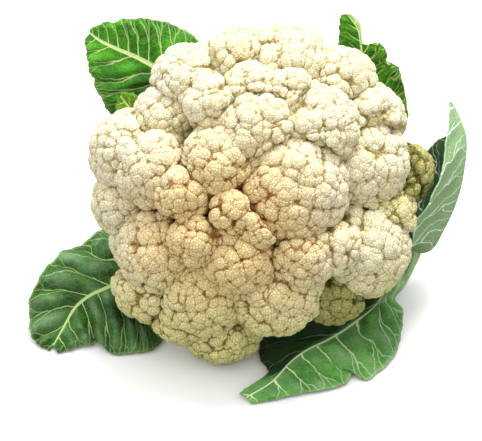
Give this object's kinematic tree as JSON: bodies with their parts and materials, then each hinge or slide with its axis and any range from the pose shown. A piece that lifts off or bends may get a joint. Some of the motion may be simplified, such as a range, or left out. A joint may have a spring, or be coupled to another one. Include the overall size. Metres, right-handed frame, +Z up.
{
  "type": "cauliflower",
  "caption": "A fresh head of cauliflower lying on its side, its bumpy cream curd split into florets round a cut stalk, with green wrapper leaves still on it",
  "frame": {"origin": "Under the middle of the whole head's box, on the surface that it lies on.", "axes": "Z is up. X runs across the curd and its side leaves, its greatest width. The cut end of the stalk faces +Y and down, and the curd faces -Y and up."},
  "size_m": [0.2472, 0.1836, 0.1647],
  "materials": {
    "curd": "matte",
    "stem": "satin",
    "leaf": "satin"
  },
  "bodies": {
    "root": {"floret_crown_01": "curd", "floret_crown_02": "curd", "floret_crown_03": "curd", "floret_crown_04": "curd", "floret_crown_05": "curd", "floret_rim_01": "curd", "floret_rim_02": "curd", "floret_rim_03": "curd", "floret_rim_04": "curd", "floret_rim_05": "curd", "floret_rim_06": "curd", "floret_rim_07": "curd", "floret_rim_08": "curd", "floret_rim_09": "curd", "floret_rim_10": "curd", "floret_rim_11": "curd", "floret_rim_12": "curd", "floret_rim_13": "curd", "floret_rim_14": "curd", "floret_rim_15": "curd", "floret_rim_16": "curd", "floret_rim_17": "curd", "floret_rim_18": "curd", "floret_shoulder_01": "curd", "floret_shoulder_02": "curd", "floret_shoulder_03": "curd", "floret_shoulder_04": "curd", "floret_shoulder_05": "curd", "floret_shoulder_06": "curd", "floret_shoulder_07": "curd", "floret_shoulder_08": "curd", "floret_shoulder_09": "curd", "floret_shoulder_10": "curd", "floret_shoulder_11": "curd", "floret_shoulder_12": "curd", "floret_shoulder_13": "curd", "leaf_lower_left": "leaf", "leaf_lower_right": "leaf", "leaf_right": "leaf", "leaf_upper_left": "leaf", "leaf_upper_right": "leaf", "leaf_young_upper_left": "leaf", "stalk": "stem"}
  },
  "joints": []
}
